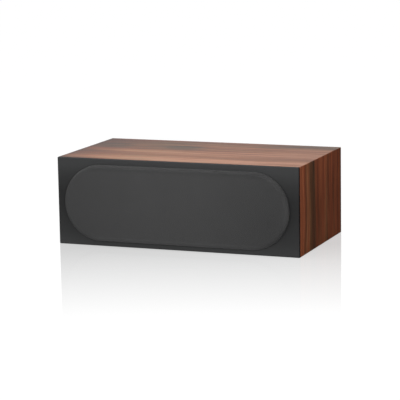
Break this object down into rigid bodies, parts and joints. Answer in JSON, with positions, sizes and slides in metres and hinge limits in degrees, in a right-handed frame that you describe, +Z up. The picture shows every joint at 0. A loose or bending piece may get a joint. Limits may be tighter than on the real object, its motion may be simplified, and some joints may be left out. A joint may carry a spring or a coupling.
{
  "type": "center channel speaker",
  "caption": "Low wide veneered loudspeaker with a black baffle, a cloth grille with half-round ends, bass drivers beside a dome tweeter, a rear port and binding posts.",
  "frame": {"origin": "middle of the cabinet's underside, on the surface that it stands on", "axes": "+X to the right along the width as seen from the front, the grille faces -Y, +Z up"},
  "size_m": [0.48, 0.2987, 0.1665],
  "materials": {
    "veneer": "streaked red-brown wood veneer, satin lacquer",
    "baffle_paint": "satin black paint on fibreboard",
    "raw_board": "bare fibreboard",
    "wadding": "soft polyester wadding",
    "moulded_black": "fine-textured black moulding",
    "grille_moulding": "black moulding",
    "grille_cloth": "black acoustic knit",
    "magnet_plating": "nickel plated",
    "screw_black": "black oxide",
    "post_plating": "plated brass",
    "knob_red": "red moulding",
    "knob_black": "black moulding",
    "circuit_board": "brown resin board",
    "spacer_nylon": "natural nylon",
    "copper_winding": "enamelled copper wire",
    "capacitor_sleeve": "film capacitor sleeve",
    "resistor_ceramic": "cement body",
    "lead_sheath": "black sheath",
    "cast_frame": "cast, dark coated",
    "surround_rubber": "matte black rubber",
    "cone_fibre": "pressed fibre",
    "cap_fibre": "coated fibre",
    "spider_cloth": "resin-stiffened cloth",
    "motor_steel": "zinc plated steel",
    "ferrite": "ferrite",
    "dome_metal": "thin metal dome",
    "tweeter_roll": "soft roll"
  },
  "bodies": {
    "cabinet": {"baffle_magnets": "magnet_plating", "bass_inductor": "copper_winding", "board_spacers": "spacer_nylon", "bottom_panel": "veneer", "capacitors": "capacitor_sleeve", "crossover_board": "circuit_board", "driver_screws": "screw_black", "front_baffle": "baffle_paint", "left_brace": "raw_board", "left_panel": "veneer", "left_wadding": "wadding", "left_woofer_basket": "cast_frame", "left_woofer_lead": "lead_sheath", "left_woofer_magnet": "ferrite", "left_woofer_spider": "spider_cloth", "left_woofer_surround": "surround_rubber", "left_woofer_top_plate": "motor_steel", "left_woofer_yoke": "motor_steel", "negative_post": "post_plating", "port_tube": "moulded_black", "positive_post": "post_plating", "post_nuts": "post_plating", "rear_panel": "veneer", "rear_screws": "screw_black", "resistor": "resistor_ceramic", "right_brace": "raw_board", "right_panel": "veneer", "right_wadding": "wadding", "right_woofer_basket": "cast_frame", "right_woofer_lead": "lead_sheath", "right_woofer_magnet": "ferrite", "right_woofer_spider": "spider_cloth", "right_woofer_surround": "surround_rubber", "right_woofer_top_plate": "motor_steel", "right_woofer_yoke": "motor_steel", "terminal_plate": "moulded_black", "top_panel": "veneer", "treble_inductor": "copper_winding", "tweeter_faceplate": "moulded_black", "tweeter_lead": "lead_sheath", "tweeter_magnet": "ferrite", "tweeter_surround": "tweeter_roll", "tweeter_top_plate": "motor_steel", "tweeter_yoke": "motor_steel", "woofer_tags": "circuit_board"},
    "grille": {"grille_frame": "grille_moulding", "grille_cloth": "grille_cloth", "grille_magnets": "magnet_plating"},
    "left_cone": {"left_woofer_cone": "cone_fibre", "left_woofer_dust_cap": "cap_fibre", "left_woofer_voice_coil": "copper_winding"},
    "right_cone": {"right_woofer_cone": "cone_fibre", "right_woofer_dust_cap": "cap_fibre", "right_woofer_voice_coil": "copper_winding"},
    "dome": {"tweeter_dome": "dome_metal", "tweeter_voice_coil": "copper_winding"},
    "positive_bush": {"positive_knob_bush": "post_plating"},
    "positive_grip": {"positive_knob": "knob_red"},
    "negative_bush": {"negative_knob_bush": "post_plating"},
    "negative_grip": {"negative_knob": "knob_black"}
  },
  "joints": [
    {"name": "grille_pull", "type": "slide", "parent": "cabinet", "child": "grille", "axis": [0, -1, 0], "range_m": [0, 0.06]},
    {"name": "left_cone_travel", "type": "slide", "parent": "cabinet", "child": "left_cone", "axis": [0, -1, 0], "range_m": [-0.004, 0.004], "stiffness_N_per_m": 900, "deforming": ["left_woofer_surround", "left_woofer_spider"]},
    {"name": "right_cone_travel", "type": "slide", "parent": "cabinet", "child": "right_cone", "axis": [0, -1, 0], "range_m": [-0.004, 0.004], "stiffness_N_per_m": 900, "deforming": ["right_woofer_surround", "right_woofer_spider"]},
    {"name": "dome_travel", "type": "slide", "parent": "cabinet", "child": "dome", "axis": [0, -1, 0], "range_m": [-0.0004, 0.0004], "stiffness_N_per_m": 500, "deforming": ["tweeter_surround"]},
    {"name": "positive_knob_lift", "type": "slide", "parent": "cabinet", "child": "positive_bush", "axis": [0, 1, 0], "range_m": [0, 0.005]},
    {"name": "positive_knob_turn", "type": "hinge", "parent": "positive_bush", "child": "positive_grip", "pos_m": [0.013, 0.1262, 0.08325], "axis": [0, 1, 0], "range_deg": [0, 1800]},
    {"name": "negative_knob_lift", "type": "slide", "parent": "cabinet", "child": "negative_bush", "axis": [0, 1, 0], "range_m": [0, 0.005]},
    {"name": "negative_knob_turn", "type": "hinge", "parent": "negative_bush", "child": "negative_grip", "pos_m": [-0.013, 0.1262, 0.08325], "axis": [0, 1, 0], "range_deg": [0, 1800]}
  ],
  "couplings": [
    {"joint": "positive_knob_lift", "follows": "positive_knob_turn", "m_per_rad": 0.00015915},
    {"joint": "negative_knob_lift", "follows": "negative_knob_turn", "m_per_rad": 0.00015915}
  ]
}
